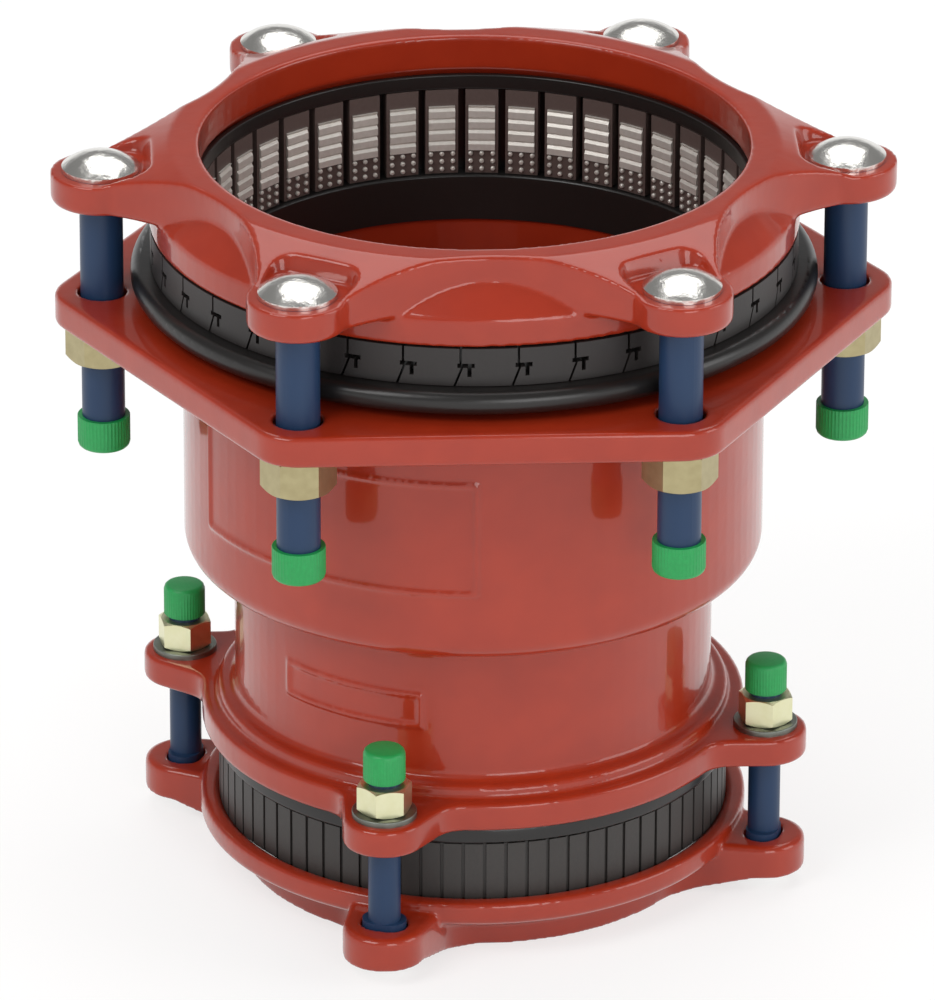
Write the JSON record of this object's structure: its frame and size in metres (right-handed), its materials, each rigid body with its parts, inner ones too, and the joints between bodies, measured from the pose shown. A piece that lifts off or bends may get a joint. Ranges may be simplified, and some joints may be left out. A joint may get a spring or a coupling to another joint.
{
  "type": "reducing coupling",
  "caption": "Bolted reducing coupling that joins a larger and a smaller plain pipe end, with eared clamp rings, gripping seals and capped bolts.",
  "frame": {"origin": "on the pipes' common axis, at the foot of the lower clamp ring, on which the coupling stands", "axes": "+Z along the pipes' axis towards the larger pipe; +X through one bolt of the upper ring; -Y faces the front of the picture's view"},
  "size_m": [0.312, 0.2752, 0.287],
  "materials": {
    "red_iron": "gloss red epoxy powder coat on ductile iron",
    "blue_steel": "dry blue coating on the shanks, bright heads",
    "plated_steel": "pale yellow zinc plate",
    "washer_steel": "bright steel",
    "grip_steel": "bright toothed steel",
    "green_cap": "moulded green plastic",
    "black_rubber": "satin moulded rubber",
    "black_plastic": "satin moulded plastic"
  },
  "bodies": {
    "housing": {"coupling_body": "red_iron", "upper_seal": "black_rubber", "upper_link_chain": "black_plastic", "upper_grip_carriers": "black_plastic", "upper_grip_plates": "grip_steel", "lower_washers": "washer_steel", "lower_seal": "black_rubber", "lower_ribbed_band": "black_plastic"},
    "upper_ring": {"upper_clamp_ring": "red_iron", "upper_bolts": "blue_steel", "upper_bolt_caps": "green_cap"},
    "lower_ring": {"lower_clamp_ring": "red_iron", "lower_bolts": "blue_steel", "lower_bolt_caps": "green_cap"},
    "upper_nut_1": {"upper_nut_1": "plated_steel"},
    "upper_nut_2": {"upper_nut_2": "plated_steel"},
    "upper_nut_3": {"upper_nut_3": "plated_steel"},
    "upper_nut_4": {"upper_nut_4": "plated_steel"},
    "upper_nut_5": {"upper_nut_5": "plated_steel"},
    "upper_nut_6": {"upper_nut_6": "plated_steel"},
    "lower_nut_1": {"lower_nut_1": "plated_steel"},
    "lower_nut_2": {"lower_nut_2": "plated_steel"},
    "lower_nut_3": {"lower_nut_3": "plated_steel"},
    "lower_nut_4": {"lower_nut_4": "plated_steel"}
  },
  "joints": [
    {"name": "upper_ring_travel", "type": "slide", "parent": "housing", "child": "upper_ring", "axis": [0, 0, -1], "range_m": [0, 0.014], "deforming": ["upper_seal", "upper_link_chain", "upper_grip_carriers", "upper_grip_plates"]},
    {"name": "lower_ring_travel", "type": "slide", "parent": "housing", "child": "lower_ring", "axis": [0, 0, 1], "range_m": [0, 0.01225], "deforming": ["lower_seal", "lower_ribbed_band"]},
    {"name": "upper_nut_1_turn", "type": "hinge", "parent": "housing", "child": "upper_nut_1", "pos_m": [0.1375, 0, 0.217], "axis": [0, 0, 1], "range_deg": [0, 2520]},
    {"name": "upper_nut_2_turn", "type": "hinge", "parent": "housing", "child": "upper_nut_2", "pos_m": [0.06875, 0.11908, 0.217], "axis": [0, 0, 1], "range_deg": [0, 2520]},
    {"name": "upper_nut_3_turn", "type": "hinge", "parent": "housing", "child": "upper_nut_3", "pos_m": [-0.06875, 0.11908, 0.217], "axis": [0, 0, 1], "range_deg": [0, 2520]},
    {"name": "upper_nut_4_turn", "type": "hinge", "parent": "housing", "child": "upper_nut_4", "pos_m": [-0.1375, 0, 0.217], "axis": [0, 0, 1], "range_deg": [0, 2520]},
    {"name": "upper_nut_5_turn", "type": "hinge", "parent": "housing", "child": "upper_nut_5", "pos_m": [-0.06875, -0.11908, 0.217], "axis": [0, 0, 1], "range_deg": [0, 2520]},
    {"name": "upper_nut_6_turn", "type": "hinge", "parent": "housing", "child": "upper_nut_6", "pos_m": [0.06875, -0.11908, 0.217], "axis": [0, 0, 1], "range_deg": [0, 2520]},
    {"name": "lower_nut_1_turn", "type": "hinge", "parent": "housing", "child": "lower_nut_1", "pos_m": [0.10766, -0.03749, 0.0667], "axis": [0, 0, -1], "range_deg": [0, 2520]},
    {"name": "lower_nut_2_turn", "type": "hinge", "parent": "housing", "child": "lower_nut_2", "pos_m": [0.03749, 0.10766, 0.0667], "axis": [0, 0, -1], "range_deg": [0, 2520]},
    {"name": "lower_nut_3_turn", "type": "hinge", "parent": "housing", "child": "lower_nut_3", "pos_m": [-0.10766, 0.03749, 0.0667], "axis": [0, 0, -1], "range_deg": [0, 2520]},
    {"name": "lower_nut_4_turn", "type": "hinge", "parent": "housing", "child": "lower_nut_4", "pos_m": [-0.03749, -0.10766, 0.0667], "axis": [0, 0, -1], "range_deg": [0, 2520]}
  ],
  "couplings": [
    {"joint": "upper_nut_1_turn", "follows": "upper_ring_travel", "rad_per_m": 3141.6},
    {"joint": "upper_nut_2_turn", "follows": "upper_ring_travel", "rad_per_m": 3141.6},
    {"joint": "upper_nut_3_turn", "follows": "upper_ring_travel", "rad_per_m": 3141.6},
    {"joint": "upper_nut_4_turn", "follows": "upper_ring_travel", "rad_per_m": 3141.6},
    {"joint": "upper_nut_5_turn", "follows": "upper_ring_travel", "rad_per_m": 3141.6},
    {"joint": "upper_nut_6_turn", "follows": "upper_ring_travel", "rad_per_m": 3141.6},
    {"joint": "lower_nut_1_turn", "follows": "lower_ring_travel", "rad_per_m": 3590.4},
    {"joint": "lower_nut_2_turn", "follows": "lower_ring_travel", "rad_per_m": 3590.4},
    {"joint": "lower_nut_3_turn", "follows": "lower_ring_travel", "rad_per_m": 3590.4},
    {"joint": "lower_nut_4_turn", "follows": "lower_ring_travel", "rad_per_m": 3590.4}
  ]
}
